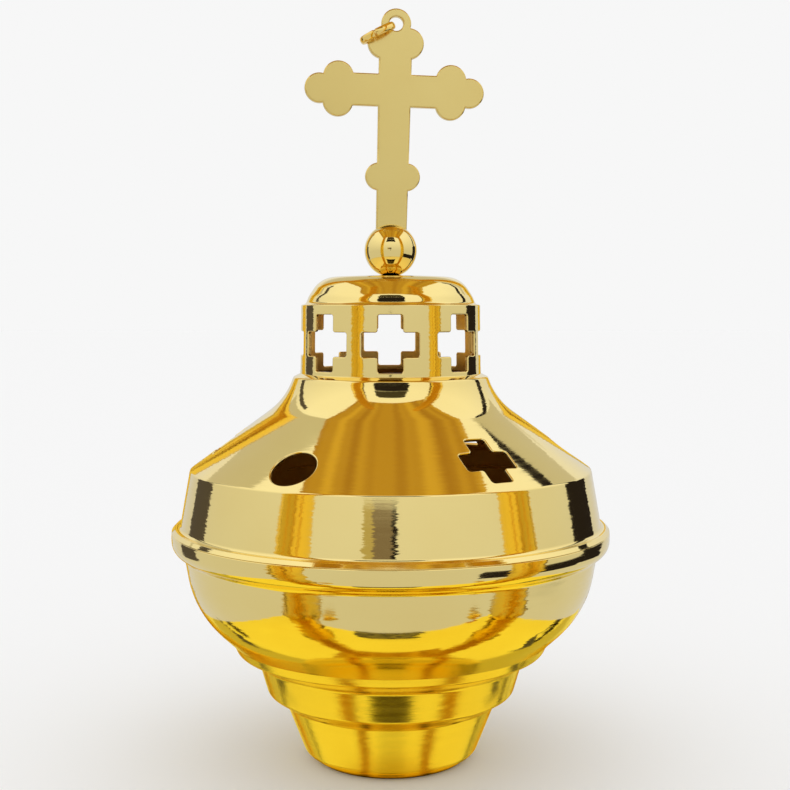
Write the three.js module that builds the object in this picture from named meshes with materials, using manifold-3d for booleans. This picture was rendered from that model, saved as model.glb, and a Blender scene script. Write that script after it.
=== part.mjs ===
// A standing censer of spun brass: a stepped bowl, a coal cup that hangs in it, and a pierced lid
// that lifts off by the flat cross on its ball. A jump ring hangs in the lug of the cross.
// Millimetres, +Z up, the origin under the middle of the foot, the front towards -Y.
import * as THREE from "three";
import { mergeVertices } from "three/addons/utils/BufferGeometryUtils.js";
import Module from "manifold-3d";

const wasm = await Module();
wasm.setup();

// Bowl: its heights each rise from the one before, starting at the table
const SHEET = 1;
const BASE_RADIUS = 18.9;
const BASE_EDGE_ROUNDING = 2;
const TOE_RADIUS = 21.8;
const TOE_RISE = 2.2;
const TOE_ROUNDING = 3;
const FOOT_TOP_RADIUS = 26.65;
const FOOT_RISE = 12.5;
const TIER_RADIUS = 31.1;
const TIER_RISE = 2.75;
const TIER_ROUNDING = 1.6;
const TIER_TOP_RADIUS = 33.4;
const TIER_TOP_RISE = 7.95;
const STEP_RADIUS = 38.8;
const STEP_RISE = 3;
const STEP_ROUNDING = 2.2;
const STEP_TOP_RADIUS = 40.85;
const STEP_TOP_RISE = 3.5;
const CREASE_ROUNDING = 1.8;
const BELLY_INSET = 5.55;
const BELLY_RISE = 6.05;
const BELLY_ROUNDING = 22.5;
const FLARE_INSET = 3.15;
const FLARE_RISE = 13.75;
const FLARE_ROUNDING = 7;
const RIM_RADIUS = 54.55;
const RIM_FOOT_RISE = 3.2;
const RIM_ROUNDING = 4;
const RIM_RISE = 4.2;
const EDGE_ROUNDING = 0.3;

// Coal cup
const CUP_SHEET = 0.8;
const CUP_SEAT_GAP = 0.15;
const CUP_RIM_GAP = 1;
const CUP_LIP_WIDTH = 5.3;
const CUP_DEPTH = 14.4;
const CUP_BOTTOM_INSET = 1.1;
const CUP_ROUNDING = 8;
const CUP_LIP_ROUNDING = 2;

// Lid: its heights rise in the same way, starting at the rim of the bowl
const BAND_INSET = 2.15;
const BAND_ROUNDING = 1.8;
const BAND_RISE = 13.15;
const SHOULDER_INSET = 4.65;
const SHOULDER_ROUNDING = 0.8;
const CONE_RISE = 17.2;
const NECK_SPREAD = 2.2;
const NECK_ROUNDING = 17;
const NECK_RISE = 5.65;
const NECK_LEDGE = 1.7;
const NECK_TOP_ROUNDING = 0.9;
const DRUM_FOOT_RISE = 0.8;
const DRUM_TAPER = 0.3;
const DRUM_RADIUS = 22.25;
const DRUM_RISE = 17;
const DRUM_ROUNDING = 0.6;
const CAP_STEP = 1.1;
const CAP_STEP_RISE = 0.1;
const CAP_STEP_ROUNDING = 0.4;
const CAP_FOOT_LEAN = 0.4;
const CAP_FOOT_RISE = 2.2;
const CAP_FOOT_ROUNDING = 7;
const CAP_LEAN = 3.15;
const CAP_RISE = 4.5;
const CAP_ROUNDING = 6.8;
const CROWN_RADIUS = 6;
const CROWN_RISE = 0.45;

// Locating ring under the flange of the lid
const COLLAR_GAP = 0.5;
const COLLAR_SHEET = 1.5;
const COLLAR_DEPTH = 3;

// Openings of the lid, the windows set out by hand and a little uneven
const WINDOW_TURNS = [0, 48, 91, 136, 181, 226, 270, 314.5];
const WINDOW_RISE = 7.85;
const WINDOW_SPAN = 13.6;
const WINDOW_UPRIGHT = 5.95;
const WINDOW_BAR = 5.75;
const WINDOW_BAR_DROP = 0.25;
const WINDOW_ROUNDING = 0.6;
const HOLE_COUNT = 3;
const ROUND_HOLE_RADIUS = 5.87;
const ROUND_HOLE_INSET = 5.8;
const ROUND_HOLE_TURN = -29.3;
const CROSS_HOLE_SPAN = 13.65;
const CROSS_HOLE_ARM = 5.6;
const CROSS_HOLE_INSET = 7.8;
const CROSS_HOLE_TURN = 31.4;

// Ball, stud, washer and nut that hold the cross on the lid
const BALL_RADIUS = 6.5;
const BALL_FLAT_RADIUS = 1.9;
const STUD_RADIUS = 1.5;
const STUD_GAP = 0.05;
const STUD_HOLE_GAP = 0.2;
const STUD_IN_BALL = 5.8;
const STUD_END_GAP = 0.2;
const STUD_END = 1.5;
const STUD_CHAMFER = 0.3;
const WASHER_RADIUS = 4.5;
const WASHER_THICKNESS = 0.8;
const NUT_WIDTH = 5.5;
const NUT_HEIGHT = 2.4;

// Cross cut from flat sheet, with heights from the middle of the ball
const CROSS_SHEET = 2;
const CROSS_TURN = 5;
const CROSS_LEAN = 1.4;
const CROSS_SEAT_GAP = 0.15;
const FOOT_HEIGHT = 2.9;
const SHAFT_FOOT_WIDTH = 7.6;
const SHAFT_WIDTH = 8.1;
const KNOB_HEIGHT = 18.1;
const KNOB_LOBE_OFFSET = 3.4;
const KNOB_LOBE_RADIUS = 3.4;
const ARM_HEIGHT = 39.15;
const ARM_WIDTH = 7.9;
const ARM_TIP = 18.5;
const TIP_RADIUS = 3.65;
const LOBE_FROM_TIP = 4.6;
const LOBE_OFFSET = 2.95;
const LOBE_RADIUS = 3.78;
const LUG_HEIGHT = 55.3;
const LUG_RADIUS = 3.68;
const LUG_HOLE_RADIUS = 1.72;
const LUG_LOBE_DROP = 4.7;
const LUG_LOBE_OFFSET = 3.15;

// Jump ring through the lug
const WIRE_THICKNESS = 1.1;
const WIRE_WIDTH = 1.9;
const RING_RADIUS = 4.2;
const RING_IN_HOLE = [-0.78, -0.35];
const RING_DROOP = 28.4;
const RING_TILT = 5;
const RING_SPLIT = 0.45;
const RING_SPLIT_TURN = 75;

const SEGMENTS = 40;
const SMALL_SEGMENTS = 24;
const ARC_ERROR = 0.1;
const INNER_ROUNDING = 3;
const { degToRad } = THREE.MathUtils;

// Turns each corner [x, y, rounding] of an outline into an arc that touches both of its sides.
function rounded(corners, closed) {
  const count = corners.length;
  return corners.flatMap(([x, y, radius = 0], i) => {
    const corner = new THREE.Vector2(x, y);
    const isEnd = !closed && (i === 0 || i === count - 1);
    if (isEnd || radius <= 0) return [corner];
    const back = new THREE.Vector2(...corners[(i + count - 1) % count].slice(0, 2)).sub(corner).normalize();
    const on = new THREE.Vector2(...corners[(i + 1) % count].slice(0, 2)).sub(corner).normalize();
    const turn = Math.PI - back.angleTo(on);
    const side = -Math.sign(back.cross(on));
    const centre = back.clone().add(on).setLength(radius / Math.cos(turn / 2)).add(corner);
    const start = back.clone().multiplyScalar(radius * Math.tan(turn / 2)).add(corner);
    const steps = Math.ceil(turn / (2 * Math.acos(1 - ARC_ERROR / radius)));
    return Array.from({ length: steps + 1 }, (_, k) =>
      start.clone().rotateAround(centre, (side * turn * k) / steps),
    );
  });
}

// The same outline moved to its left by a distance, with each large rounding kept concentric.
function offset(corners, distance) {
  const sides = corners.slice(1).map(([x, y], i) => {
    const along = new THREE.Vector2(x - corners[i][0], y - corners[i][1]).normalize();
    return { along, left: new THREE.Vector2(-along.y, along.x) };
  });
  return corners.map(([x, y, radius = 0], i) => {
    const before = sides[Math.max(i - 1, 0)];
    const after = sides[Math.min(i, sides.length - 1)];
    const shift = before.left.clone().add(after.left);
    shift.multiplyScalar(distance / (1 + before.left.dot(after.left)));
    const isEnd = i === 0 || i === corners.length - 1;
    const bend = Math.sign(before.along.cross(after.along));
    const kept = isEnd ? radius : radius - bend * distance;
    return [x + shift.x, y + shift.y, isEnd || kept > INNER_ROUNDING ? kept : 0];
  });
}

// A sheet of even thickness that lies to the left of an outline.
const sheetOutline = (corners, thickness) => [...corners, ...offset(corners, thickness).reverse()];

// A solid of revolution about Z from an outline [radius, height, rounding].
function turned(corners, closed, segments = SEGMENTS) {
  const points = rounded(corners, closed);
  if (closed) points.push(points[0].clone());
  return new THREE.LatheGeometry(points, segments).rotateX(Math.PI / 2);
}

// An outline extruded along Z, half of its depth to each side.
function slab(points, depth, hole) {
  const shape = new THREE.Shape(points);
  if (hole) shape.holes.push(new THREE.Path(hole));
  return new THREE.ExtrudeGeometry(shape, { depth, bevelEnabled: false }).translate(0, 0, -depth / 2);
}

function circle(radius, segments = SMALL_SEGMENTS) {
  return Array.from({ length: segments }, (_, i) => {
    const angle = (2 * Math.PI * i) / segments;
    return new THREE.Vector2(radius * Math.cos(angle), radius * Math.sin(angle));
  });
}

const rectangle = (x0, y0, x1, y1) => rounded([[x0, y0], [x1, y0], [x1, y1], [x0, y1]], true);

// A cross with rounded corners, whose bar may lie a little below its middle.
function plusOutline(span, upright, bar, rounding, drop = 0) {
  const [s, u, b] = [span / 2, upright / 2, bar / 2];
  const quarter = [[s, -b], [s, b], [u, b]];
  const half = [...quarter, [u, s], [-u, s], [-u, b]];
  const corners = [...half, ...half.map(([x, y]) => [-x, -y])];
  const lowered = corners.map(([x, y]) => [x, Math.abs(y) === b ? y - drop : y, rounding]);
  return rounded(lowered, true);
}

// Booleans are done on manifold-3d solids, which are turned back into a geometry at the end.
function solid(geometry) {
  const bare = geometry.clone();
  bare.deleteAttribute("normal");
  bare.deleteAttribute("uv");
  const merged = mergeVertices(bare);
  return new wasm.Manifold(
    new wasm.Mesh({
      numProp: 3,
      vertProperties: merged.getAttribute("position").array,
      triVerts: new Uint32Array(merged.index.array),
    }),
  );
}

function geometryOf(made) {
  const { vertProperties, triVerts } = made.getMesh();
  const geometry = new THREE.BufferGeometry();
  geometry.setAttribute("position", new THREE.BufferAttribute(vertProperties, 3));
  geometry.setIndex(new THREE.BufferAttribute(triVerts, 1));
  geometry.computeVertexNormals();
  return geometry;
}

const joined = (pieces) => pieces.map(solid).reduce((whole, next) => whole.add(next));
const cut = (whole, pieces) => geometryOf(pieces.map(solid).reduce((rest, next) => rest.subtract(next), whole));

// Corners [radius, height, rounding] from rows that give each height as a rise from the one before.
function stacked(rows) {
  let height = 0;
  return rows.map(([radius, rise, rounding]) => {
    height += rise;
    return [radius, height, rounding];
  });
}

const flareRadius = RIM_RADIUS - FLARE_INSET;
const bowlCorners = stacked([
  [0, 0],
  [BASE_RADIUS, 0, BASE_EDGE_ROUNDING],
  [TOE_RADIUS, TOE_RISE, TOE_ROUNDING],
  [FOOT_TOP_RADIUS, FOOT_RISE, CREASE_ROUNDING],
  [TIER_RADIUS, TIER_RISE, TIER_ROUNDING],
  [TIER_TOP_RADIUS, TIER_TOP_RISE, CREASE_ROUNDING],
  [STEP_RADIUS, STEP_RISE, STEP_ROUNDING],
  [STEP_TOP_RADIUS, STEP_TOP_RISE],
  [RIM_RADIUS - BELLY_INSET, BELLY_RISE, BELLY_ROUNDING],
  [flareRadius, FLARE_RISE, FLARE_ROUNDING],
  [RIM_RADIUS, RIM_FOOT_RISE, RIM_ROUNDING],
  [RIM_RADIUS, RIM_RISE, EDGE_ROUNDING],
]);
const rimHeight = bowlCorners.at(-1)[1];

// The coal cup's lip lies on the inside of the bowl's flare.
function cupCorners() {
  const flareHeight = rimHeight - RIM_RISE - RIM_FOOT_RISE;
  const slope = RIM_FOOT_RISE / FLARE_INSET;
  const lift = (SHEET + CUP_SEAT_GAP) * Math.hypot(1, slope);
  const seatHeight = (radius) => flareHeight + lift + slope * (radius - flareRadius);
  const lipRadius = RIM_RADIUS - SHEET - CUP_RIM_GAP;
  const rootRadius = lipRadius - CUP_LIP_WIDTH;
  const rootHeight = seatHeight(rootRadius);
  return [
    [0, rootHeight - CUP_DEPTH],
    [STEP_TOP_RADIUS - CUP_BOTTOM_INSET, rootHeight - CUP_DEPTH, CUP_ROUNDING],
    [rootRadius, rootHeight, CUP_LIP_ROUNDING],
    [lipRadius, seatHeight(lipRadius), EDGE_ROUNDING],
  ];
}

const shoulderRadius = RIM_RADIUS - SHOULDER_INSET;
const drumFootRadius = DRUM_RADIUS + DRUM_TAPER;
const neckTopRadius = drumFootRadius + NECK_LEDGE;
const neckRadius = neckTopRadius + NECK_SPREAD;
const capFootRadius = DRUM_RADIUS - CAP_STEP;
const lidCorners = stacked([
  [RIM_RADIUS, SHEET, EDGE_ROUNDING],
  [RIM_RADIUS - BAND_INSET, 0, BAND_ROUNDING],
  [shoulderRadius, BAND_RISE, SHOULDER_ROUNDING],
  [neckRadius, CONE_RISE, NECK_ROUNDING],
  [neckTopRadius, NECK_RISE, NECK_TOP_ROUNDING],
  [drumFootRadius, DRUM_FOOT_RISE],
  [DRUM_RADIUS, DRUM_RISE, DRUM_ROUNDING],
  [capFootRadius, CAP_STEP_RISE, CAP_STEP_ROUNDING],
  [capFootRadius - CAP_FOOT_LEAN, CAP_FOOT_RISE, CAP_FOOT_ROUNDING],
  [capFootRadius - CAP_FOOT_LEAN - CAP_LEAN, CAP_RISE, CAP_ROUNDING],
  [CROWN_RADIUS, CROWN_RISE],
  [STUD_RADIUS + STUD_HOLE_GAP, 0],
]);
const capHeight = lidCorners.at(-1)[1];

// Places a cutter on the lid's wall: its Z axis points out along the wall's normal, which rises
// by the given tilt, and its Y axis points up the wall.
function onWall(geometry, turn, radius, height, tilt) {
  const place = new THREE.Object3D();
  place.rotation.set(Math.PI / 2 - tilt, 0, turn, "ZYX");
  place.position.set(radius * Math.sin(turn), -radius * Math.cos(turn), height);
  place.updateMatrix();
  return geometry.applyMatrix4(place.matrix);
}

function lidGeometry() {
  const coneAngle = Math.atan2(CONE_RISE, shoulderRadius - neckRadius);
  const coneHeight = (inset) => SHEET + BAND_RISE + inset * Math.tan(coneAngle);
  const windowHeight = SHEET + BAND_RISE + CONE_RISE + NECK_RISE + DRUM_FOOT_RISE + WINDOW_RISE;
  const reach = 6 * SHEET;
  const windowWidths = [WINDOW_SPAN, WINDOW_UPRIGHT, WINDOW_BAR];
  const window = slab(plusOutline(...windowWidths, WINDOW_ROUNDING, WINDOW_BAR_DROP), reach);
  const roundHole = slab(circle(ROUND_HOLE_RADIUS), reach);
  const crossHole = slab(plusOutline(CROSS_HOLE_SPAN, CROSS_HOLE_ARM, CROSS_HOLE_ARM, WINDOW_ROUNDING), reach);
  const cutters = [];
  const drumMiddle = (DRUM_RADIUS + drumFootRadius) / 2;
  for (const turn of WINDOW_TURNS) {
    cutters.push(onWall(window.clone(), degToRad(turn), drumMiddle, windowHeight, 0));
  }
  for (let i = 0; i < HOLE_COUNT; i++) {
    const turn = (2 * Math.PI * i) / HOLE_COUNT;
    const tilt = Math.PI / 2 - coneAngle;
    const holes = [
      [roundHole, ROUND_HOLE_TURN, ROUND_HOLE_INSET],
      [crossHole, CROSS_HOLE_TURN, CROSS_HOLE_INSET],
    ];
    for (const [cutter, from, inset] of holes) {
      const around = turn + degToRad(from);
      cutters.push(onWall(cutter.clone(), around, shoulderRadius - inset, coneHeight(inset), tilt));
    }
  }
  return cut(solid(turned(sheetOutline(lidCorners, SHEET), true)), cutters);
}

// A ball on its small flat, bored from below for the stud and slotted from above for the cross.
function ballGeometry() {
  const centre = Math.sqrt(BALL_RADIUS ** 2 - BALL_FLAT_RADIUS ** 2);
  const bore = STUD_RADIUS + STUD_GAP;
  const boreEnd = STUD_IN_BALL + STUD_END_GAP;
  const bottom = -Math.acos(BALL_FLAT_RADIUS / BALL_RADIUS);
  const steps = SMALL_SEGMENTS / 2;
  const arc = Array.from({ length: steps + 1 }, (_, i) => {
    const angle = bottom + ((Math.PI / 2 - bottom) * i) / steps;
    return [i < steps ? BALL_RADIUS * Math.cos(angle) : 0, centre + BALL_RADIUS * Math.sin(angle)];
  });
  const corners = [[0, boreEnd], [bore, boreEnd], [bore, 0], ...arc];
  const slotTop = BALL_RADIUS + SHEET;
  const slotFoot = FOOT_HEIGHT - CROSS_SEAT_GAP;
  const slot = new THREE.BoxGeometry(
    SHAFT_FOOT_WIDTH + 2 * CROSS_SEAT_GAP,
    CROSS_SHEET + 2 * CROSS_SEAT_GAP,
    slotTop - slotFoot,
  )
    .translate(0, 0, (slotTop + slotFoot) / 2)
    .rotateY(degToRad(CROSS_LEAN))
    .translate(0, 0, centre);
  return { geometry: cut(solid(turned(corners, false, SMALL_SEGMENTS)), [slot]), centre };
}

// The cross is a shaft and an arm with lobes at their ends, a knob low on the shaft and a pierced lug on top.
function crossGeometry() {
  const disc = (x, y, radius) => slab(circle(radius), CROSS_SHEET).translate(x, y, 0);
  const bar = (x0, y0, x1, y1) => slab(rectangle(x0, y0, x1, y1), CROSS_SHEET);
  const [footHalf, topHalf] = [SHAFT_FOOT_WIDTH / 2, SHAFT_WIDTH / 2];
  const shaft = [
    [-footHalf, FOOT_HEIGHT],
    [footHalf, FOOT_HEIGHT],
    [topHalf, ARM_HEIGHT],
    [-topHalf, ARM_HEIGHT],
  ];
  const lobeHeight = LUG_HEIGHT - LUG_LOBE_DROP;
  const armEnd = ARM_TIP - LOBE_FROM_TIP / 2;
  const pieces = [
    slab(rounded(shaft, true), CROSS_SHEET),
    bar(-topHalf, ARM_HEIGHT, topHalf, lobeHeight),
    bar(-armEnd, ARM_HEIGHT - ARM_WIDTH / 2, armEnd, ARM_HEIGHT + ARM_WIDTH / 2),
    disc(0, LUG_HEIGHT, LUG_RADIUS),
  ];
  for (const side of [-1, 1]) {
    pieces.push(
      disc(side * LUG_LOBE_OFFSET, lobeHeight, LOBE_RADIUS),
      disc(side * KNOB_LOBE_OFFSET, KNOB_HEIGHT, KNOB_LOBE_RADIUS),
      disc(side * ARM_TIP, ARM_HEIGHT, TIP_RADIUS),
      disc(side * (ARM_TIP - LOBE_FROM_TIP), ARM_HEIGHT + LOBE_OFFSET, LOBE_RADIUS),
      disc(side * (ARM_TIP - LOBE_FROM_TIP), ARM_HEIGHT - LOBE_OFFSET, LOBE_RADIUS),
    );
  }
  const hole = slab(circle(LUG_HOLE_RADIUS), 2 * CROSS_SHEET).translate(0, LUG_HEIGHT, 0);
  return cut(joined(pieces), [hole]).rotateX(Math.PI / 2);
}

// A ring of oval wire in the XY plane, sawn through at the given angle from X.
function ringGeometry() {
  const wire = new THREE.TorusGeometry(RING_RADIUS, WIRE_THICKNESS / 2, 12, 32);
  wire.scale(1, 1, WIRE_WIDTH / WIRE_THICKNESS);
  const gap = new THREE.BoxGeometry(2 * WIRE_THICKNESS, RING_SPLIT, 2 * WIRE_WIDTH)
    .translate(RING_RADIUS, 0, 0)
    .rotateZ(degToRad(RING_SPLIT_TURN));
  return cut(solid(wire), [gap]);
}

const polish = (color, roughness) => new THREE.MeshStandardMaterial({ color, roughness, metalness: 1 });
const shellBrass = polish(0xdcb957, 0.12);
const finialBrass = polish(0xd0b368, 0.22);
const ringBrass = polish(0xc99b45, 0.25);
const innerBrass = polish(0x8e6c33, 0.45);

function add(parent, name, geometry, material) {
  const mesh = new THREE.Mesh(geometry, material);
  mesh.name = name;
  parent.add(mesh);
  return mesh;
}

const censer = new THREE.Group();
censer.name = "censer";
add(censer, "bowl", turned(sheetOutline(bowlCorners, SHEET), false), shellBrass);
add(censer, "coal_cup", turned(sheetOutline(cupCorners(), CUP_SHEET), false), innerBrass);

const lid = new THREE.Group();
lid.position.z = rimHeight;
censer.add(lid);
add(lid, "lid", lidGeometry(), shellBrass);
const collarRadius = RIM_RADIUS - SHEET - COLLAR_GAP;
const collar = [
  [collarRadius - COLLAR_SHEET, -COLLAR_DEPTH],
  [collarRadius, -COLLAR_DEPTH, EDGE_ROUNDING],
  [collarRadius, 0],
  [collarRadius - COLLAR_SHEET, 0],
];
add(lid, "locating_ring", turned(collar, true), innerBrass);

const fixings = new THREE.Group();
fixings.position.z = capHeight - SHEET;
lid.add(fixings);
const boreRadius = STUD_RADIUS + STUD_GAP;
const hexagon = circle(NUT_WIDTH / Math.sqrt(3), 6);
const washer = slab(circle(WASHER_RADIUS), WASHER_THICKNESS, circle(boreRadius, 12));
const nut = slab(hexagon, NUT_HEIGHT, circle(boreRadius, 12));
const studFoot = -WASHER_THICKNESS - NUT_HEIGHT - STUD_END;
const studTop = SHEET + STUD_IN_BALL;
const stud = [
  [0, studFoot],
  [STUD_RADIUS - STUD_CHAMFER, studFoot],
  [STUD_RADIUS, studFoot + STUD_CHAMFER],
  [STUD_RADIUS, studTop],
  [0, studTop],
];
add(fixings, "washer", washer, innerBrass).position.z = -WASHER_THICKNESS / 2;
add(fixings, "nut", nut, innerBrass).position.z = -WASHER_THICKNESS - NUT_HEIGHT / 2;
add(fixings, "stud", turned(stud, false, 12), innerBrass);

const finial = new THREE.Group();
finial.position.z = capHeight;
finial.rotation.z = degToRad(CROSS_TURN);
lid.add(finial);
const ball = ballGeometry();
add(finial, "ball", ball.geometry, shellBrass);

const plate = new THREE.Group();
plate.position.z = ball.centre;
plate.rotation.y = degToRad(CROSS_LEAN);
finial.add(plate);
add(plate, "cross", crossGeometry(), finialBrass);

// The ring droops to the left of the lug, leans on the lobe below it and has its front strand low.
const ring = add(plate, "jump_ring", ringGeometry(), ringBrass);
const droop = degToRad(RING_DROOP);
ring.rotation.set(Math.PI - degToRad(RING_TILT), Math.PI - droop, 0, "YXZ");
ring.position.set(
  RING_IN_HOLE[0] - RING_RADIUS * Math.cos(droop),
  0,
  LUG_HEIGHT + RING_IN_HOLE[1] - RING_RADIUS * Math.sin(droop),
);

export default censer;
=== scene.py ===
# A standing censer of spun brass on a pale floor: a stepped bowl, a coal cup inside it, and a
# pierced lid that lifts off by the cross on its ball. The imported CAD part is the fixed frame.
from math import acos, asin, atan2, ceil, cos, hypot, pi, radians, sin, sqrt, tan

import bpy
import numpy as np
from mathutils import Matrix, Vector
from mathutils.geometry import delaunay_2d_cdt


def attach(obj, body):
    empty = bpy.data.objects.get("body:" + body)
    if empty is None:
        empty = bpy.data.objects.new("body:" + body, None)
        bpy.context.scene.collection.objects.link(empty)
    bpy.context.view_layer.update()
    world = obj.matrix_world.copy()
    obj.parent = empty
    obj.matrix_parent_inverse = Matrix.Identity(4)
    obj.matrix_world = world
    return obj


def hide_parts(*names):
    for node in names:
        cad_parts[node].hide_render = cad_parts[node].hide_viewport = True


MM = 0.001

# Sizes in millimetres, from the CAD source, with a few fitted closer to the photograph. A corner of an
# outline is (radius, height, rounding).
SHEET = 1.0
EDGE = 0.3
SHARP = 0.25
CREASE = 1.8
RIM_RADIUS = 54.55
RIM_HEIGHT = 58.35
BOWL = [
    (0, 0, 0),
    (18.9, 0, 2),
    (21.8, 2.2, 3),
    (26.65, 14.7, CREASE),
    (31.1, 17.45, 1.6),
    (33.4, 25.4, CREASE),
    (38.7, 28.2, 1.6),
    (39.8, 30.5, SHARP),
    (49.2, 39.4, 24),
    (51.4, 52.3, 1.5),
    (54.35, 54.1, 3.4),
    (RIM_RADIUS, 56.8, 12),
    (54.45, RIM_HEIGHT, EDGE),
]
FLARE = BOWL[-4]
RIM_FOOT = BOWL[-3]

CUP_SHEET = 0.8
CUP_SEAT_GAP = 0.15
CUP_LIP_RADIUS = 52.55
CUP_ROOT_RADIUS = 47.25
CUP_BOTTOM_RADIUS = 39.75
CUP_DEPTH = 16.6
CUP_BOTTOM_ROUNDING = 8
CUP_ROOT_ROUNDING = 2

SHOULDER = (49.9, 14.9)
NECK = (26.45, 32.1)
DRUM_FOOT = (22.55, 38.55)
DRUM_TOP = (22.25, 55.55)
CAP_HEIGHT = 62.8
STUD_HOLE_RADIUS = 1.7
FLANGE_BEVEL = 0.95
FLANGE_EDGE = 0.08
LID = [
    (RIM_RADIUS, SHEET, EDGE),
    (52.4, SHEET, 1),
    (*SHOULDER, 0.8),
    (*NECK, 17),
    (24.25, 37.75, 0.9),
    (*DRUM_FOOT, SHARP),
    (*DRUM_TOP, 0.3),
    (21.15, 55.65, 1.1),
    (20.35, 57.7, 6),
    (17.3, 62.3, 6.5),
    (6, CAP_HEIGHT, 3),
    (STUD_HOLE_RADIUS, CAP_HEIGHT, SHARP),
]
COLLAR_RADIUS = 53.05
COLLAR_SHEET = 1.5
COLLAR_DEPTH = 2.2
COLLAR_TOP_EDGE = 0.05

# Of a cross-shaped opening: its width and height, the widths of its upright and its bar, the rounding of its
# corners, and how far the bar sits below the middle
WINDOW = (13.6, 13.6, 5.95, 5.75, 0.6, 0.25)
WINDOW_TURNS = (0, 48, 91, 136, 181, 226, 270, 314.5)
WINDOW_HEIGHT = 46.4
DRUM_SEAM = 22.5
HOLE_COUNT = 3
ROUND_HOLE_AT = 43.85
ROUND_HOLE_TURN = -29.3
ROUND_HOLE_RADIUS = 5.4
CROSS_HOLE = (13.1, 14.25, 5.5, 5.6, 0.8, 0)
CROSS_HOLE_AT = 41.75
CROSS_HOLE_TURN = 31.65
CONE_MIDDLE = 20
CUT_EDGE = 0.34

BALL_RADIUS = 6.5
BALL_FLAT = 1.9
BALL_BORE = 1.55
BALL_BORE_DEPTH = 6
BALL_BORE_EDGE = 0.1
BALL_CENTRE = sqrt(BALL_RADIUS**2 - BALL_FLAT**2)
CROSS_TURN = 5
CROSS_LEAN = 1.4
CROSS_SHEET = 2
CROSS_EDGE = 0.4
CROSS_FOOT = 2.9
SHAFT_FOOT_WIDTH = 7.6
SHAFT_WIDTH = 8.1
KNOB = (3.4, 18.1, 3.4)
ARM_HEIGHT = 39.15
ARM_WIDTH = 7.9
TIP = (18.5, ARM_HEIGHT, 3.65)
LOBE = (13.9, 2.95, 3.78)
LUG = (0, 55.3, 3.68)
LUG_HOLE_RADIUS = 1.72
LUG_LOBE = (3.15, 50.6, 3.78)

WIRE_THICKNESS = 1.1
WIRE_WIDTH = 1.9
RING_RADIUS = 4.2
RING_IN_HOLE = (-0.78, -0.35)
RING_DROOP = 28.4
RING_TILT = 5
RING_SPLIT = 0.45
RING_SPLIT_TURN = 75

# How finely the meshes are made
COLUMNS = 288
BALL_COLUMNS = 128
BALL_ROWS = 64
ROUND_HOLE_PARTS = 96
LUG_HOLE_PARTS = 64
ARC_ERROR = 0.002
ARC_TURN = radians(4)
SIDE_PARTS = 4
HOLE_STEP = 0.4
CROSS_STEP = 0.6
GRID_STEP = 1.2
GRID_GAP = 0.3
LONG_WALL = 10
HIT_ROUNDS = 8
MITER_LIMIT = 1.5
NEARLY_ZERO = 1e-6
EDGE_ANGLES = [pi / 2 * step / 3 for step in range(4)]

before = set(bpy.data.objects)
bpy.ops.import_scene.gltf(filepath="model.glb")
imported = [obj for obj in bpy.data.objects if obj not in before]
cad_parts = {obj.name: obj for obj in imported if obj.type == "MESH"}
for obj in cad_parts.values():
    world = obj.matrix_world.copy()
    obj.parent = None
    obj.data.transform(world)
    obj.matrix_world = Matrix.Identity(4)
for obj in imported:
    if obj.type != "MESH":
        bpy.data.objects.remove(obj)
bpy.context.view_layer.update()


# Points and right-hand normals along an outline of corners (x, y, rounding).
def outline(corners, closed):
    found = []
    count = len(corners)
    for i, (x, y, radius) in enumerate(corners):
        corner = Vector((x, y))
        before = Vector(corners[i - 1][:2])
        after = Vector(corners[(i + 1) % count][:2])
        if not closed and i in (0, count - 1):
            along = (after - corner) if i == 0 else (corner - before)
            along.normalize()
            found.append((corner, Vector((along.y, -along.x))))
            continue
        back = (before - corner).normalized()
        on = (after - corner).normalized()
        turn = pi - back.angle(on)
        centre = corner + (back + on).normalized() * radius / cos(turn / 2)
        side = 1 if back.cross(on) < 0 else -1
        start = corner + back * radius * tan(turn / 2) - centre
        steps = max(2, ceil(turn / (2 * acos(1 - ARC_ERROR / radius))))
        for k in range(steps + 1):
            arm = Matrix.Rotation(side * turn * k / steps, 2) @ start
            found.append((centre + arm, arm.normalized() * side))
    return found


# The same outline moved to its left, with its roundings kept concentric.
def offset(corners, distance):
    moved = []
    for i, (x, y, radius) in enumerate(corners):
        here = Vector((x, y))
        before = (here - Vector(corners[i - 1][:2])).normalized() if i else None
        after = (Vector(corners[i + 1][:2]) - here).normalized() if i + 1 < len(corners) else None
        first = before or after
        last = after or before
        shift = Vector((-first.y - last.y, first.x + last.x)) * distance / (1 + first.dot(last))
        bend = 1 if first.cross(last) > 0 else -1
        kept = radius if not (before and after) else max(radius - bend * distance, SHARP)
        moved.append((x + shift.x, y + shift.y, kept))
    return moved


# A closed outline of sheet metal, from the corners of its outer side.
def sheet(corners, thickness):
    return corners + offset(corners, thickness)[::-1]


def placed(name, data):
    thing = bpy.data.objects.new(name, data)
    bpy.context.scene.collection.objects.link(thing)
    return thing


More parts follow.
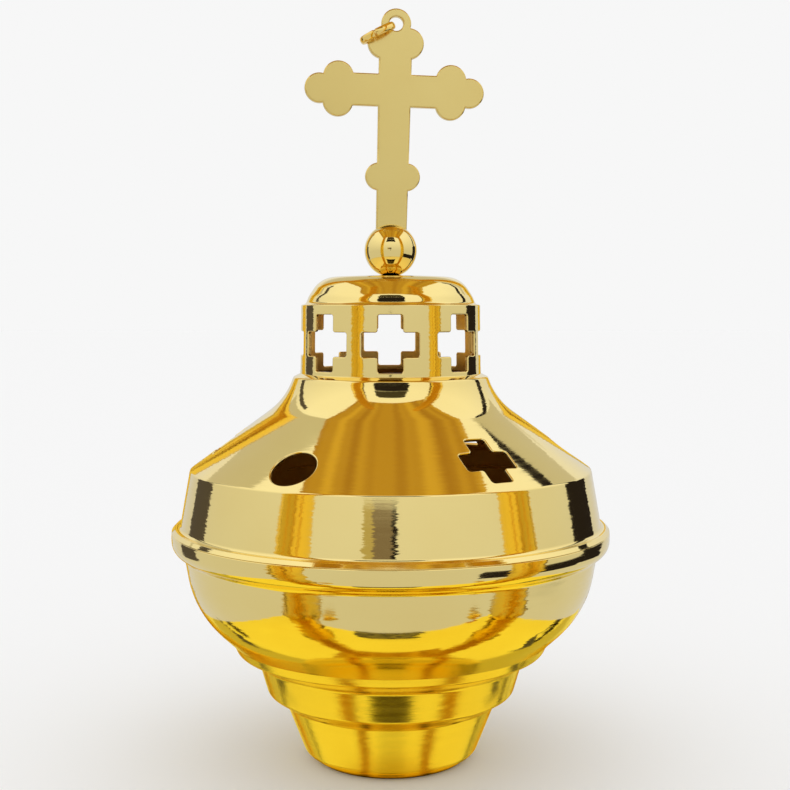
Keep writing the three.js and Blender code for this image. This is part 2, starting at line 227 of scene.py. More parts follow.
# A mesh that is built up from vertices with their own normals.
class Shape:
    def __init__(self):
        self.places = []
        self.normals = []
        self.faces = []

    def add(self, place, normal):
        self.places.append(Vector(place))
        self.normals.append(Vector(normal).normalized())
        return len(self.places) - 1

    # Faces between two rings of vertices.
    def strip(self, low, high):
        count = len(low)
        for j in range(count):
            k = (j + 1) % count
            corners = []
            for v in (low[j], low[k], high[k], high[j]):
                if v not in corners:
                    corners.append(v)
            if len(corners) > 2:
                self.faces.append(corners)

    # Makes the object, moved by a matrix in millimetres, with the built-up normals as its shading. Faces
    # whose corners all pass the lined test take the second material.
    def finish(self, name, materials, slot, body, nodes, matrix=Matrix(), lined=None):
        mesh = bpy.data.meshes.new(name)
        turn = matrix.to_3x3()
        mesh.from_pydata([(matrix @ p) * MM for p in self.places], [], self.faces)
        mesh.polygons.foreach_set("use_smooth", [True] * len(mesh.polygons))
        mesh.normals_split_custom_set_from_vertices([turn @ n for n in self.normals])
        for material in materials:
            mesh.materials.append(material)
        if lined:
            inside_face = [all(lined(self.places[v], self.normals[v]) for v in f) for f in self.faces]
            mesh.polygons.foreach_set("material_index", [int(found) for found in inside_face])
        piece = placed(name, mesh)
        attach(piece, body)
        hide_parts(*nodes)


# A place at a turn round the axis, from the front.
def around(radius, angle, height=0.0):
    return Vector((radius * sin(angle), -radius * cos(angle), height))


# A row of vertices round the axis, or one vertex on it.
def lathe_row(shape, point, normal, base, columns):
    if point.x < NEARLY_ZERO:
        return [shape.add((0, 0, base + point.y), (0, 0, normal.y))] * columns
    row = []
    for j in range(columns):
        angle = 2 * pi * j / columns
        row.append(shape.add(around(point.x, angle, base + point.y), around(normal.x, angle, normal.y)))
    return row


# A solid of revolution from the points and normals of its outline. A band is a long wall with holes in it,
# known by a height on it.
def lathe(points, closed, columns=COLUMNS, base=0.0, bands=()):
    shape = Shape()
    rows = [lathe_row(shape, p, n, base, columns) for p, n in points]
    skins = {}
    for i in range(len(rows) if closed else len(rows) - 1):
        k = (i + 1) % len(rows)
        p, q = points[i][0], points[k][0]
        outer = points[i][1].x > 0
        for band in bands:
            if (q - p).length > LONG_WALL and min(p.y, q.y) < band["height"] < max(p.y, q.y):
                skins[band["name"], outer] = (p, q, points[i][1], rows[i], rows[k])
                break
        else:
            shape.strip(rows[i], rows[k])
    for band in bands:
        pierce(shape, band, skins[band["name"], True], skins[band["name"], False], base)
    return shape


# Where a straight line meets the cone through two points [radius, height] of an outline.
def hit(origin, direction, p, q):
    slope = (q.x - p.x) / (q.y - p.y)
    at = Vector(origin)
    for _ in range(HIT_ROUNDS):
        reach = hypot(at.x, at.y)
        miss = reach - (p.x + slope * (at.z - p.y))
        rate = (direction.x * at.x + direction.y * at.y) / reach - slope * direction.z
        at -= direction * miss / rate
    return at


# Cuts holes with rounded edges through both skins of a cone, and walls them round.
def pierce(shape, band, outer, inner, base):
    edges = {True: [], False: []}
    for loop, turn, at, height in band["holes"]:
        out = Vector((sin(turn) * cos(band["tilt"]), -cos(turn) * cos(band["tilt"]), sin(band["tilt"])))
        right = Vector((cos(turn), sin(turn), 0))
        up = out.cross(right)
        middle = around(at, turn, height)
        rings = []
        for skin, side in ((outer, 1), (inner, -1)):
            p, q, normal = skin[:3]
            for angle in EDGE_ANGLES[::side]:
                ring = []
                for place, facing in loop:
                    apart = place - facing * CUT_EDGE * (1 - sin(angle))
                    start = middle + right * apart.x + up * apart.y
                    found = hit(start, out, p, q) - out * side * CUT_EDGE * (1 - cos(angle))
                    surface = around(normal.x, atan2(found.x, -found.y), normal.y)
                    into = right * facing.x + up * facing.y
                    lifted = found + Vector((0, 0, base))
                    ring.append(shape.add(lifted, surface * cos(angle) + into * sin(angle)))
                rings.append(ring)
        for before, after in zip(rings, rings[1:]):
            shape.strip(after, before)
        edges[True].append(rings[0])
        edges[False].append(rings[-1])
    for skin, side in ((outer, True), (inner, False)):
        fill_skin(shape, skin, edges[side], band["seam"], base)


def ring_links(start, count):
    return [(start + i, start + (i + 1) % count) for i in range(count)]


# Triangles over flat points, outside each loop, or inside the first one where it bounds them.
def fill(flat, links, loops, bounded):
    made = delaunay_2d_cdt([Vector(f) for f in flat], links, [], 0, 1e-7, True)
    corners = np.array(made[2])
    middles = np.array([tuple(v) for v in made[0]])[corners].mean(axis=1)
    solid = np.ones(len(corners), bool)
    for n, loop in enumerate(loops):
        within = inside(middles, loop)
        solid &= within if bounded and n == 0 else ~within
    return [[made[3][v][0] for v in face] for face in corners[solid]]


# Fills a cone between two rows of vertices, leaving out the holes, by unrolling it.
def fill_skin(shape, skin, edges, seam, base):
    p, q, normal, low, high = skin
    columns = len(low)
    length = (q - p).length
    scale = (p.x + q.x) / 2
    first = round(seam / (2 * pi) * columns)
    flat = []
    names = []
    links = []
    for j in range(columns + 1):
        u = 2 * pi * j / columns * scale
        column = (first + j) % columns
        flat += [(u, 0.0), (u, length)]
        names += [low[column], high[column]]
    loops = []
    for ring in edges:
        start = len(flat)
        for v in ring:
            place = shape.places[v]
            turn = (atan2(place.x, -place.y) - seam) % (2 * pi)
            flat.append((turn * scale, (place.z - base - p.y) / (q.y - p.y) * length))
            names.append(v)
        links += ring_links(start, len(ring))
        loops.append(np.array(flat[start:]))
    rows = round(length / GRID_STEP)
    grid = [(i, j) for i in range(1, rows) for j in range(columns)]
    spots = np.array([(2 * pi * j / columns * scale, length * i / rows) for i, j in grid])
    free = np.ones(len(spots), bool)
    for loop in loops:
        gap = np.hypot(*(spots[:, None, :] - loop[None, :, :]).transpose(2, 0, 1)).min(axis=1)
        free &= (gap > GRID_GAP) & ~inside(spots, loop)
    for (i, j), spot, kept in zip(grid, spots, free):
        if not kept:
            continue
        angle = seam + 2 * pi * j / columns
        at = p.lerp(q, i / rows)
        v = shape.add(around(at.x, angle, base + at.y), around(normal.x, angle, normal.y))
        flat.append(tuple(spot))
        names.append(v)
        if j == 0:
            flat.append((2 * pi * scale, spot[1]))
            names.append(v)
    shape.faces += [[names[v] for v in face] for face in fill(flat, links, loops, False)]


# Whether each of the points lies inside a loop.
def inside(points, loop):
    x, y = points[:, 0, None], points[:, 1, None]
    x0, y0 = loop.T
    x1, y1 = np.roll(loop, -1, axis=0).T
    rise = np.where(y1 == y0, 1e-12, y1 - y0)
    crossed = ((y0 > y) != (y1 > y)) & (x < (x1 - x0) * (y - y0) / rise + x0)
    return crossed.sum(axis=1) % 2 == 1


# Points no further apart than a step along a closed loop of points and normals.
def refined(loop, step):
    made = []
    for (p, n), (q, m) in zip(loop, loop[1:] + loop[:1]):
        parts = max(1, ceil((q - p).length / step))
        made += [(p.lerp(q, i / parts), n.lerp(m, i / parts).normalized()) for i in range(parts)]
    return made


# The edge of a hole, with the material on its left, from the outline of what is cut away.
def as_hole(loop):
    return [(p, -n) for p, n in reversed(loop)]


def circle(centre, radius, parts):
    arms = [Vector((cos(2 * pi * i / parts), sin(2 * pi * i / parts))) for i in range(parts)]
    return [(Vector(centre) + arm * radius, arm) for arm in arms]


# The outline of a cross-shaped opening.
def plus_outline(span, tall, upright, bar, rounding, drop):
    s, t, u, b = span / 2, tall / 2, upright / 2, bar / 2
    half = [(s, -b), (s, b), (u, b), (u, t), (-u, t), (-u, b)]
    corners = half + [(-x, -y) for x, y in half]
    return outline([(x, y - drop if abs(y) == b else y, rounding) for x, y in corners], True)


# Where two sides of an outline meet, nearest to a hint. A side is a line (point, direction) or a circle
# (centre, radius).
def meet(a, b, near):
    if isinstance(a[1], Vector) and isinstance(b[1], Vector):
        away = a[0] - b[0]
        return a[0] + a[1] * (b[1].cross(away) / a[1].cross(b[1]))
    if isinstance(b[1], Vector):
        a, b = b, a
    if isinstance(a[1], Vector):
        foot = a[0] + a[1] * (b[0] - a[0]).dot(a[1])
        reach = sqrt(b[1] ** 2 - (foot - b[0]).length_squared)
        found = (foot + a[1] * reach, foot - a[1] * reach)
    else:
        apart = b[0] - a[0]
        d = apart.length
        along = (d * d + a[1] ** 2 - b[1] ** 2) / (2 * d)
        across = Vector((-apart.y, apart.x)) / d * sqrt(a[1] ** 2 - along**2)
        found = (a[0] + apart / d * along + across, a[0] + apart / d * along - across)
    return min(found, key=lambda v: (v - near).length)


# The right half of the cross's outline as sides with the hint of where each meets the next one.
def cross_sides():
    def upright(x):
        return (Vector((x, 0)), Vector((0, 1)))

    def level(y, way):
        return (Vector((0, y)), Vector((way, 0)))

    def disc(x, y, radius):
        return (Vector((x, y)), radius)

    low, high = ARM_HEIGHT - ARM_WIDTH / 2, ARM_HEIGHT + ARM_WIDTH / 2
    shaft, upper = SHAFT_FOOT_WIDTH / 2, SHAFT_WIDTH / 2
    spread = Vector((upper - shaft, ARM_HEIGHT - CROSS_FOOT)).normalized()
    flank = (Vector((shaft, CROSS_FOOT)), spread)
    return [
        (level(CROSS_FOOT, 1), (shaft, CROSS_FOOT)),
        (flank, (shaft, KNOB[1] - KNOB[2])),
        (disc(*KNOB), (shaft, KNOB[1] + KNOB[2])),
        (flank, (upper, low)),
        (level(low, 1), (LOBE[0] - LOBE[2], low)),
        (disc(LOBE[0], ARM_HEIGHT - LOBE[1], LOBE[2]), (TIP[0], low)),
        (disc(*TIP), (TIP[0], high)),
        (disc(LOBE[0], ARM_HEIGHT + LOBE[1], LOBE[2]), (LOBE[0] - LOBE[2], high)),
        (level(high, -1), (upper, high)),
        (upright(upper), (upper, LUG_LOBE[1] - LUG_LOBE[2])),
        (disc(*LUG_LOBE), (LUG[2], LUG_LOBE[1] + LUG_LOBE[2])),
        (disc(*LUG), (0, LUG[1] + LUG[2])),
    ]


def cross_outline():
    sides = cross_sides()
    at = Vector((0, CROSS_FOOT))
    half = [(at, Vector((0, -1)))]
    for i, (side, hint) in enumerate(sides):
        last = i == len(sides) - 1
        end = Vector(hint) if last else meet(side, sides[i + 1][0], Vector(hint))
        if isinstance(side[1], Vector):
            steps = [at.lerp(end, k / SIDE_PARTS) for k in range(1, SIDE_PARTS)]
            half += [(p, Vector((side[1].y, -side[1].x))) for p in steps]
        else:
            first, stop = at - side[0], end - side[0]
            turn = (atan2(stop.y, stop.x) - atan2(first.y, first.x)) % (2 * pi)
            parts = max(3, ceil(turn / ARC_TURN))
            for k in range(1, parts):
                arm = Matrix.Rotation(turn * k / parts, 2) @ first
                half.append((side[0] + arm, arm.normalized()))
        half.append((end, None))
        at = end
    # a corner's normal is halfway between its neighbours'
    for i, (p, n) in enumerate(half):
        if n is None:
            after = half[i + 1][1] if i + 1 < len(half) else Vector((0, 1))
            half[i] = (p, (half[i - 1][1] + after).normalized())
    mirrored = [(Vector((-p.x, p.y)), Vector((-n.x, n.y))) for p, n in half[1:-1]]
    return half + mirrored[::-1]


# A flat sheet in the XY plane with rounded edges, from loops of points and normals.
def plate(loops, thickness, rounding):
    shape = Shape()
    faces = {1: [], -1: []}
    for loop in loops:
        rings = []
        for side in (1, -1):
            for angle in EDGE_ANGLES[::side]:
                ring = []
                for i, (p, n) in enumerate(loop):
                    along = (loop[(i + 1) % len(loop)][0] - loop[i - 1][0]).normalized()
                    miter = 1 / max(1 / MITER_LIMIT, Vector((along.y, -along.x)).dot(n))
                    flat = p - n * rounding * (1 - sin(angle)) * miter
                    height = side * (thickness / 2 - rounding * (1 - cos(angle)))
                    facing = (n.x * sin(angle), n.y * sin(angle), side * cos(angle))
                    ring.append(shape.add((flat.x, flat.y, height), facing))
                rings.append(ring)
        for before, after in zip(rings, rings[1:]):
            shape.strip(after, before)
        faces[1].append(rings[0])
        faces[-1].append(rings[-1])
    for side, edges in faces.items():
        names = []
        links = []
        flat = []
        for ring in edges:
            links += ring_links(len(names), len(ring))
            names += ring
            flat.append([tuple(shape.places[v].to_2d()) for v in ring])
        spots = [spot for loop in flat for spot in loop]
        for face in fill(spots, links, [np.array(loop) for loop in flat], True):
            shape.faces.append([names[v] for v in face][::side])
    return shape


# A split ring of oval wire in the XY plane.
def wire_ring():
    shape = Shape()
    half_gap = RING_SPLIT / 2 / RING_RADIUS
    start = radians(RING_SPLIT_TURN) + half_gap
    sweep = 2 * pi - 2 * half_gap
    stations = 96
    columns = 24
    rounding = 0.15
    rows = []

    def row(angle, inset, lean):
        out = Vector((cos(angle), sin(angle), 0))
        ahead = Vector((-sin(angle), cos(angle), 0))
        made = []
        for i in range(columns):
            turn = 2 * pi * i / columns
            high = Vector((0, 0, sin(turn)))
            arm = out * cos(turn) * (WIRE_THICKNESS / 2 - inset) + high * (WIRE_WIDTH / 2 - inset)
            facing = (out * cos(turn) / WIRE_THICKNESS + high / WIRE_WIDTH).normalized()
            made.append(shape.add(out * RING_RADIUS + arm, facing * cos(lean) + ahead * sin(lean)))
        return made

    for end in (-1, 1):
        for lean in EDGE_ANGLES[::end]:
            angle = start + (sweep if end > 0 else 0)
            angle -= end * rounding * (1 - sin(lean)) / RING_RADIUS
            rows.append(row(angle, rounding * (1 - cos(lean)), end * lean))
        if end < 0:
            inner = rounding / RING_RADIUS
            for k in range(1, stations):
                rows.append(row(start + inner + (sweep - 2 * inner) * k / stations, 0, 0))
    for before, after in zip(rows, rows[1:]):
        shape.strip(after, before)
    shape.faces.append(rows[0])
    shape.faces.append(rows[-1][::-1])
    return shape


# The ball's outline, with the bore for the stud.
def ball_points():
    bore = [
        (0, BALL_BORE_DEPTH, 0),
        (BALL_BORE, BALL_BORE_DEPTH, BALL_BORE_EDGE),
        (BALL_BORE, 0, BALL_BORE_EDGE),
        (BALL_FLAT, 0, 0),
    ]
    points = outline(bore, False)
    low = asin(-BALL_CENTRE / BALL_RADIUS)
    for k in range(1, BALL_ROWS):
        angle = low + (pi / 2 - low) * k / BALL_ROWS
        facing = Vector((cos(angle), sin(angle)))
        points.append((Vector((0, BALL_CENTRE)) + facing * BALL_RADIUS, facing))
    points.append((Vector((0, BALL_CENTRE + BALL_RADIUS)), Vector((0, 1))))
    return points


# The cup's outer side. Its lip rests on the bowl's flare.
def cup_corners():
    slope = (RIM_FOOT[1] - FLARE[1]) / (RIM_FOOT[0] - FLARE[0])
    lift = (SHEET + CUP_SEAT_GAP) * hypot(1, slope)

    def seat(radius):
        return FLARE[1] + lift + slope * (radius - FLARE[0])

    floor = seat(CUP_ROOT_RADIUS) - CUP_DEPTH
    return [
        (0, floor, 0),
        (CUP_BOTTOM_RADIUS, floor, CUP_BOTTOM_ROUNDING),
        (CUP_ROOT_RADIUS, seat(CUP_ROOT_RADIUS), CUP_ROOT_ROUNDING),
        (CUP_LIP_RADIUS, seat(CUP_LIP_RADIUS), EDGE),
    ]


# The nodes of a material or a world, with short ways to add one and to join it to the others.
class Nodes:
    def __init__(self, owner, shader="Principled BSDF"):
        owner.use_nodes = True
        self.tree = owner.node_tree
        self.shader = self.tree.nodes[shader]

    # Sets a node's inputs to values, or links them to the outputs of other nodes.
    def put(self, node, inputs):
        for key, value in inputs.items():
            if isinstance(value, bpy.types.NodeSocket):
                self.tree.links.new(value, node.inputs[key])
            else:
                node.inputs[key].default_value = value

    def add(self, kind, inputs=(), **settings):
        node = self.tree.nodes.new(kind)
        for key, value in settings.items():
            setattr(node, key, value)
        self.put(node, dict(inputs))
        return node

    def vector(self, operation, inputs):
        return self.add("ShaderNodeVectorMath", inputs, operation=operation).outputs[0]

    def ranged(self, value, start, end, low, high):
        inputs = {"Value": value, "From Min": start, "From Max": end, "To Min": low, "To Max": high}
        return self.add("ShaderNodeMapRange", inputs).outputs[0]

    def noise(self, place, scale, detail, stretch=(1, 1, 1)):
        mapped = self.add("ShaderNodeMapping", {"Vector": place, "Scale": stretch}).outputs[0]
        inputs = {"Vector": mapped, "Scale": scale, "Detail": detail}
        return self.add("ShaderNodeTexNoise", inputs).outputs[0]

    # Noise keeps near its middle, so the part of its range that it mostly stays in is spread out.
    def spread(self, value, low, high):
        return self.ranged(value, 0.3, 0.7, low, high)

    def bump(self, height, depth, before=None):
        inputs = {"Height": height, "Distance": depth, "Strength": 1}
        if before:
            inputs["Normal"] = before
        return self.add("ShaderNodeBump", inputs).outputs[0]

    # The tool's marks tip the surface to the side by turns, which frays the edges of what it mirrors.
    def tip(self, normal, value, most):
        side = self.vector("CROSS_PRODUCT", {0: normal, 1: (0, 0, 1)})
        push = self.vector("SCALE", {0: side, "Scale": self.ranged(value, 0, 1, -most, most)})
        return self.vector("NORMALIZE", {0: self.vector("ADD", {0: normal, 1: push})})


# How often the noises change in a metre. On spun metal they change far more with height than round it.
WAVE_SCALE = 130
MOTTLE_SCALE = 35
GRAIN_SCALE = 60
RING_SCALES = (90, 90, 2400)
STREAK_SCALES = (40, 40, 700)
MARK_SCALES = (220, 220, 2400)
# Between these heights, in metres, a dull foot passes into a polished belly
DULL_TO_POLISHED = (0.031, 0.038)
# How far the red, green and blue of a metal follow its change of tone
TONE_SHARES = (0.5, 1, 2)
BRASS = (0.93, 0.76, 0.31)


# Polished metal, from its colour and its lowest and highest roughness. Spun metal has fine rings that follow
# height plus a share of the radius.
def metal(
    name, color, low, high, rings=None, ring_depth=0.0, wave_depth=0.0, tone=0.06, dull=0.0, shake=0.0
):
    material = bpy.data.materials.new(name)
    nodes = Nodes(material)
    place = nodes.add("ShaderNodeTexCoord").outputs["Object"]
    normal = None
    if wave_depth:
        normal = nodes.bump(nodes.noise(place, WAVE_SCALE, 1), wave_depth)
    if rings is not None:
        x, y, z = nodes.add("ShaderNodeSeparateXYZ", {"Vector": place}).outputs
        flat = nodes.add("ShaderNodeCombineXYZ", {"X": x, "Y": y}).outputs[0]
        reach = nodes.add("ShaderNodeVectorMath", {0: flat}, operation="LENGTH").outputs["Value"]
        along = nodes.add("ShaderNodeMath", {0: reach, 1: rings, 2: z}, operation="MULTIPLY_ADD").outputs[0]
        turned = nodes.add("ShaderNodeCombineXYZ", {"X": x, "Y": y, "Z": along}).outputs[0]
        normal = nodes.bump(nodes.noise(turned, 1, 3, RING_SCALES), ring_depth, normal)
        streaks = nodes.noise(turned, 1, 3, STREAK_SCALES)
        if shake:
            normal = nodes.tip(normal, nodes.noise(turned, 1, 2, MARK_SCALES), shake)
    else:
        streaks = nodes.noise(place, GRAIN_SCALE, 4)
    rough = nodes.spread(streaks, low, high)
    if dull:
        extra = nodes.ranged(z, *DULL_TO_POLISHED, dull, 0)
        rough = nodes.add("ShaderNodeMath", {0: rough, 1: extra}, operation="ADD").outputs[0]
    mottle = nodes.spread(nodes.noise(place, MOTTLE_SCALE, 3), 0, 1)
    darker = [c * (1 - tone * share) for c, share in zip(color, TONE_SHARES)]
    # the mix node's colour sockets share their names with others, so they go by number
    mix = nodes.add("ShaderNodeMix", {0: mottle, 6: (*color, 1), 7: (*darker, 1)}, data_type="RGBA")
    nodes.put(nodes.shader, {"Base Color": mix.outputs[2], "Metallic": 1, "Roughness": rough})
    if normal:
        nodes.put(nodes.shader, {"Normal": normal})
    return material


bowl_brass = metal(
    "bowl_brass", BRASS, 0.04, 0.1, rings=1, ring_depth=1.2e-6, wave_depth=4e-6, dull=0.12, shake=0.055
)
lid_brass = metal("lid_brass", BRASS, 0.03, 0.08, rings=-1, ring_depth=1.2e-6, wave_depth=4e-6, shake=0.03)
ball_brass = metal("ball_brass", BRASS, 0.02, 0.05, wave_depth=1.5e-6)
cross_brass = metal("cross_brass", (0.84, 0.67, 0.25), 0.16, 0.22, wave_depth=3e-6)
ring_brass = metal("ring_brass", (0.95, 0.7, 0.22), 0.05, 0.14, wave_depth=3e-6)
lining_brass = metal(
    "lining_brass", (0.85, 0.56, 0.16), 0.25, 0.42, rings=-1, ring_depth=2e-6, wave_depth=3e-6
)
cup_brass = metal(
    "cup_brass", (0.55, 0.37, 0.13), 0.35, 0.5, rings=1, ring_depth=3e-6, wave_depth=5e-6, tone=0.3
)
fixing_brass = metal("fixing_brass", (0.45, 0.33, 0.13), 0.3, 0.45, wave_depth=2e-6, tone=0.2)


# Whether a place of the bowl or the lid, with its normal, is on the inside.
def in_bowl(place, normal):
    facing = place.x * normal.x + place.y * normal.y
    return facing < 0 or (normal.z > 0.5 and place.z < RIM_HEIGHT - SHEET)


def in_lid(place, normal):
    facing = place.x * normal.x + place.y * normal.y
    return facing < 0 or (normal.z < -0.5 and place.z > RIM_HEIGHT + SHEET / 2)


bowl = lathe(outline(sheet(BOWL, SHEET), False), False)
bowl.finish("bowl_spun", [bowl_brass, lining_brass], "shell", "bowl", ["bowl"], lined=in_bowl)
cup = lathe(outline(sheet(cup_corners(), CUP_SHEET), False), False)
cup.finish("coal_cup_spun", [cup_brass], "inner", "coal_cup", ["coal_cup"])

cone_angle = atan2(NECK[1] - SHOULDER[1], SHOULDER[0] - NECK[0])
window = as_hole(refined(plus_outline(*WINDOW), HOLE_STEP))
drum_radius = (DRUM_TOP[0] + DRUM_FOOT[0]) / 2
windows = [(window, radians(turn), drum_radius, WINDOW_HEIGHT) for turn in WINDOW_TURNS]
cross_hole = as_hole(refined(plus_outline(*CROSS_HOLE), HOLE_STEP))
round_hole = as_hole(circle((0, 0), ROUND_HOLE_RADIUS, ROUND_HOLE_PARTS))
pair = ((round_hole, ROUND_HOLE_TURN, ROUND_HOLE_AT), (cross_hole, CROSS_HOLE_TURN, CROSS_HOLE_AT))
cone_holes = []
for i in range(HOLE_COUNT):
    for loop, turn, at in pair:
        height = SHOULDER[1] + (SHOULDER[0] - at) * tan(cone_angle)
        cone_holes.append((loop, 2 * pi * i / HOLE_COUNT + radians(turn), at, height))
bands = [
    {"name": "drum", "height": WINDOW_HEIGHT, "tilt": 0, "seam": radians(DRUM_SEAM), "holes": windows},
    {"name": "cone", "height": CONE_MIDDLE, "tilt": pi / 2 - cone_angle, "seam": 0, "holes": cone_holes},
]
# the flange's outer edge is bevelled
lid_skin = sheet(LID, SHEET)
lid_skin[0] = (RIM_RADIUS - FLANGE_BEVEL, SHEET, EDGE)
lid_skin[-1] = (RIM_RADIUS, 0, FLANGE_EDGE)
lid = lathe(outline(lid_skin, True), True, base=RIM_HEIGHT, bands=bands)
lid.finish("lid_spun", [lid_brass, lining_brass], "shell", "lid", ["lid"], lined=in_lid)
collar_corners = [
    (COLLAR_RADIUS - COLLAR_SHEET, -COLLAR_DEPTH, SHARP),
    (COLLAR_RADIUS, -COLLAR_DEPTH, EDGE),
    (COLLAR_RADIUS, 0, COLLAR_TOP_EDGE),
    (COLLAR_RADIUS - COLLAR_SHEET, 0, COLLAR_TOP_EDGE),
]
collar = lathe(outline(collar_corners, True), True, base=RIM_HEIGHT)
collar.finish("locating_ring_turned", [cup_brass], "inner", "lid", ["locating_ring"])

top = RIM_HEIGHT + CAP_HEIGHT
finial_place = Matrix.Translation((0, 0, top)) @ Matrix.Rotation(radians(CROSS_TURN), 4, "Z")
lean = Matrix.Translation((0, 0, BALL_CENTRE)) @ Matrix.Rotation(radians(CROSS_LEAN), 4, "Y")
ball = lathe(ball_points(), False, BALL_COLUMNS)
ball.finish("ball_turned", [ball_brass], "shell", "lid", ["ball"], finial_place)
lug_hole = as_hole(circle(LUG[:2], LUG_HOLE_RADIUS, LUG_HOLE_PARTS))
cross = plate([refined(cross_outline(), CROSS_STEP), lug_hole], CROSS_SHEET, CROSS_EDGE)
upright = Matrix.Rotation(pi / 2, 4, "X")
cross.finish("cross_plate", [cross_brass], "finial", "lid", ["cross"], finial_place @ lean @ upright)

droop = radians(RING_DROOP)
ring_at = Matrix.Translation((
    RING_IN_HOLE[0] - RING_RADIUS * cos(droop),
    0,
    LUG[1] + RING_IN_HOLE[1] - RING_RADIUS * sin(droop),
))
swing = Matrix.Rotation(pi - droop, 4, "Y") @ Matrix.Rotation(pi - radians(RING_TILT), 4, "X")
ring_place = finial_place @ lean @ ring_at @ swing
wire_ring().finish("jump_ring_wire", [ring_brass], "wire", "jump_ring", ["jump_ring"], ring_place)

for name in ("stud", "washer", "nut"):
    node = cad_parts[name]
    node.data.materials.clear()
    node.data.materials.append(fixing_brass)

# The camera is at the photograph's angle. Its place is in metres and its lens in millimetres, and the
# horizon lies 87 pixels over the middle of the frame at a focal length of 1260 pixels.
CAMERA_AT = (0.00108, -0.315, 0.1131)
CAMERA_DOWN = atan2(87, 1260)
camera = placed("camera", bpy.data.cameras.new("camera"))
camera.location = CAMERA_AT
camera.rotation_euler = (pi / 2 - CAMERA_DOWN, 0, 0)
camera.data.lens = 57.42
camera.data.sensor_width = 36
camera.data.clip_start = 0.01
bpy.context.scene.camera = camera
bpy.context.scene.view_settings.view_transform = "Standard"

# The light comes from the whole sky, a little more from above. The camera sees an even pale wall.
SKY_HEIGHTS = (-0.05, 0.7)
SKY_STRENGTHS = (0.7, 1.05)
WALL_STRENGTH = 0.93
world = bpy.data.worlds.new("world")
bpy.context.scene.world = world
sky = Nodes(world, "Background")
outward = sky.add("ShaderNodeTexCoord").outputs["Generated"]
rise = sky.add("ShaderNodeSeparateXYZ", {"Vector": outward}).outputs["Z"]
glow = sky.ranged(rise, *SKY_HEIGHTS, *SKY_STRENGTHS)
seen = sky.add("ShaderNodeLightPath").outputs["Is Camera Ray"]
strength = sky.add("ShaderNodeMix", {"Factor": seen, "A": glow, "B": WALL_STRENGTH}).outputs["Result"]
sky.put(sky.shader, {"Color": (1, 1, 1, 1), "Strength": strength})

FLOOR_REACH = 6
floor_corners = [(x * FLOOR_REACH, y * FLOOR_REACH, 0) for x, y in ((-1, -1), (1, -1), (1, 1), (-1, 1))]
floor_mesh = bpy.data.meshes.new("floor")
floor_mesh.from_pydata(floor_corners, [], [(0, 1, 2, 3)])
floor = placed("floor", floor_mesh)
floor.visible_glossy = False
floor_material = bpy.data.materials.new("floor")
floor_nodes = Nodes(floor_material)
floor_look = {"Base Color": (0.93, 0.93, 0.93, 1), "Roughness": 1, "Specular IOR Level": 0}
floor_nodes.put(floor_nodes.shader, floor_look)
floor_mesh.materials.append(floor_material)

# The studio's cards, in millimetres. They stand for what the photograph's brass mirrors.
FLAG_DISTANCE = 2500
WALL_DISTANCE = 2600
ROOF_HEIGHT = 320
OVER_PLATE = 0.4
POST_PARTS = 64


# A card that only the polish mirrors.
def stage_card(name, points, faces, material):
    mesh = bpy.data.meshes.new(name)
    mesh.from_pydata([Vector(p) * MM for p in points], [], faces)
    mesh.materials.append(material)
    card = placed(name, mesh)
    card.visible_camera = False
    card.visible_diffuse = False
    card.visible_shadow = False
    return card


# A turned post, from its radii and heights.
def stage_post(name, x, y, rows, material):
    turns = [2 * pi * i / POST_PARTS for i in range(POST_PARTS)]
    points = [(x + radius * cos(a), y + radius * sin(a), z) for radius, z in rows for a in turns]
    faces = []
    for low in range(0, len(points) - POST_PARTS, POST_PARTS):
        high = low + POST_PARTS
        for i in range(POST_PARTS):
            k = (i + 1) % POST_PARTS
            faces.append((low + i, low + k, high + k, high + i))
    card = stage_card(name, points, faces, material)
    card.data.polygons.foreach_set("use_smooth", [True] * len(faces))


# A flag far off, between two elevations, with its bearings from the front at the lower and at the upper one,
# in degrees.
def stage_flag(name, bearings, low, high, material, distance=FLAG_DISTANCE):
    points = []
    for elevation, ends in ((low, bearings[0]), (high, bearings[1])):
        for bearing in ends:
            points.append(around(distance, radians(bearing), distance * tan(radians(elevation))))
    stage_card(name, points, [(0, 1, 3, 2)], material)


# A card's glow, even or in bands between two colours.
def stage_colour(name, color, other=None, stretch=None):
    material = bpy.data.materials.new(name)
    nodes = Nodes(material)
    shade = (*color, 1)
    if other:
        place = nodes.add("ShaderNodeTexCoord").outputs["Object"]
        bands = nodes.spread(nodes.noise(place, 1, 1, stretch), 0, 1)
        ramp = nodes.add("ShaderNodeValToRGB", {"Fac": bands})
        ramp.color_ramp.elements[0].color = shade
        ramp.color_ramp.elements[1].color = (*other, 1)
        shade = ramp.outputs["Color"]
    look = {"Base Color": (0, 0, 0, 1), "Specular IOR Level": 0}
    nodes.put(nodes.shader, {**look, "Emission Color": shade, "Emission Strength": 1})
    return material


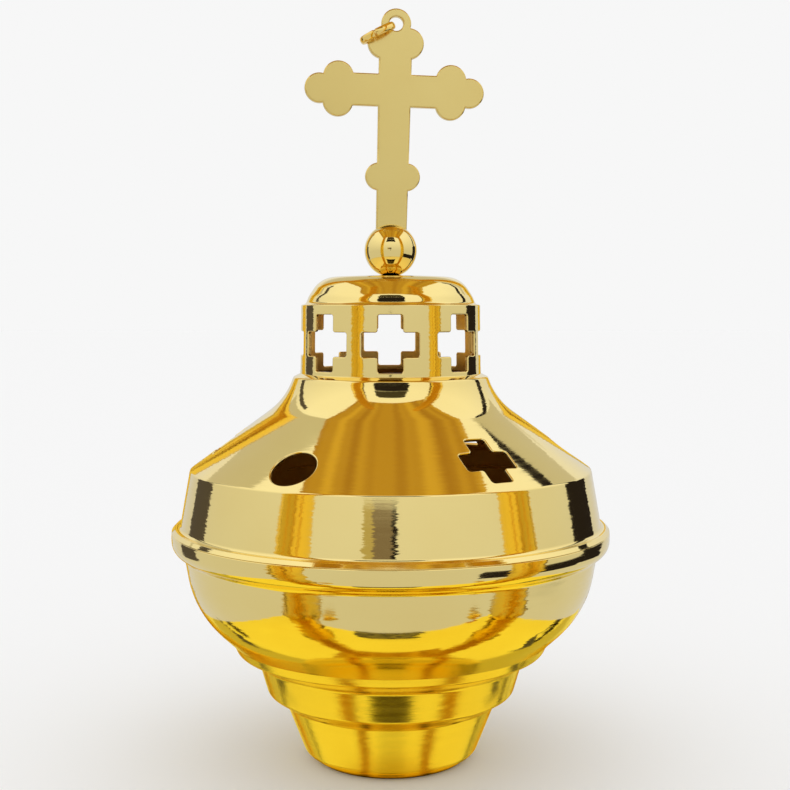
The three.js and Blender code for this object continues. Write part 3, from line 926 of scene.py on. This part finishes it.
black = stage_colour("black_card", (0.02, 0.016, 0.017))
brown = stage_colour("brown_card", (0.09, 0.08, 0.085))
dusk = stage_colour("dusk_card", (0.06, 0.052, 0.035))
pale = stage_colour("pale_card", (0.76, 0.74, 0.69))
stone = stage_colour("stone_card", (0.62, 0.6, 0.54))
umber = stage_colour("umber_card", (0.1, 0.085, 0.03))
edge_umber = stage_colour("edge_card", (0.05, 0.042, 0.02), (0.3, 0.25, 0.06), (160, 420, 0))
olive = stage_colour("olive_card", (0.5, 0.42, 0.2))
grey = stage_colour("grey_card", (0.225, 0.18, 0.145))
canopy = stage_colour("canopy", (0.36, 0.17, 0.02), (0.72, 0.46, 0.06), (28, 0, 0))
plate_gold = metal("plate_gold", (1.0, 0.82, 0.08), 0.05, 0.09)
post_gold = metal("post_gold", (0.92, 0.64, 0.08), 0.24, 0.26, tone=0)

# The stand's plate and roof, its posts, and two knobs in front
stand_plate = [(-88, -83.5, 0), (90, -83.5, 0), (90, 90, 0), (-88, 90, 0)]
stage_card("plate_reflector", stand_plate, [(0, 1, 2, 3)], plate_gold)
roof = [(x, y, ROOF_HEIGHT) for x, y in ((-122, -124), (131, -124), (131, 124), (-122, 124))]
stage_card("roof_reflector", roof, [(3, 2, 1, 0)], canopy)
post_rows = [(12, 0), (12, 16), (15, 20), (12, 24), (12, ROOF_HEIGHT)]
for i, (x, y) in enumerate(((-57, -76), (71, -58), (57, 78), (-71, 66))):
    stage_post(f"post_reflector_{i}", x, y, post_rows, post_gold)
knob_rows = [(1, 0), (5, 1), (6, 4), (5, 7), (1, 8)]
for name, x, y in (("knob_left", -50, -99), ("knob_right", 68, -89)):
    stage_post(name, x, y, knob_rows, post_gold)

# Walls and dark flags round the room
for flag in (
    ("flag_right", ((112, 138), (112, 138)), -15, 12, black),
    ("flag_right_top", ((117, 127), (134, 140)), 12, 38, black),
    ("flag_left_top", ((-129, -122), (-128, -123)), 12, 42, brown),
    ("flag_right_tip", ((136, 140), (137, 140)), 38, 46, black),
    ("back_wall", ((139.5, 227), (139.5, 227)), 22, 66, stone, WALL_DISTANCE),
    ("back_wall_middle", ((152, 208), (152, 208)), 22, 66, pale),
    ("flag_left", ((-135, -115), (-135, -115)), -15, 12, brown),
    ("flag_front", ((-23, 25), (-20, 22)), 36, 46, black),
    ("flag_front_top", ((-22, 23), (-19, 20)), 46, 57, dusk),
    ("flag_right_low", ((46, 112), (46, 112)), -20, -8, black),
):
    stage_flag(*flag)

# Dark edges just over the plate
front_edge = [(-24, -84), (20, -84), (12, -74.5), (-18, -74.5)]
left_strip = [(-93, 30), (-87, 19), (-76, 8), (-68, -2), (-59, 2), (-53, -7), (-50, -12), (-46, -17)]
right_strip = [(85, 8), (90, 16), (63, -11), (68, -5), (51, -8), (57, 1), (47, -17), (49, -14)]
strip_faces = [(0, 1, 3, 2), (2, 3, 5, 4), (4, 5, 7, 6)]
for name, spots, faces, material in (
    ("front_edge", front_edge, [(0, 1, 2, 3)], edge_umber),
    ("strip_left", left_strip, strip_faces, umber),
    ("strip_right", right_strip, strip_faces, umber),
):
    stage_card(name, [(x, y, OVER_PLATE) for x, y in spots], faces, material)

# What lies past the camera, and the lens
for flag in (
    ("window_left", ((-14, -9), (-14, -9)), 6, 12.75, olive),
    ("window_middle", ((-9, 1), (-9, 1)), 6, 12.75, grey),
    ("window_right", ((1, 3.5), (1, 3.5)), 6, 12.75, black),
    ("lens", ((-1.5, 1.5), (-1.5, 1.5)), 1, 4, black),
):
    stage_flag(*flag)
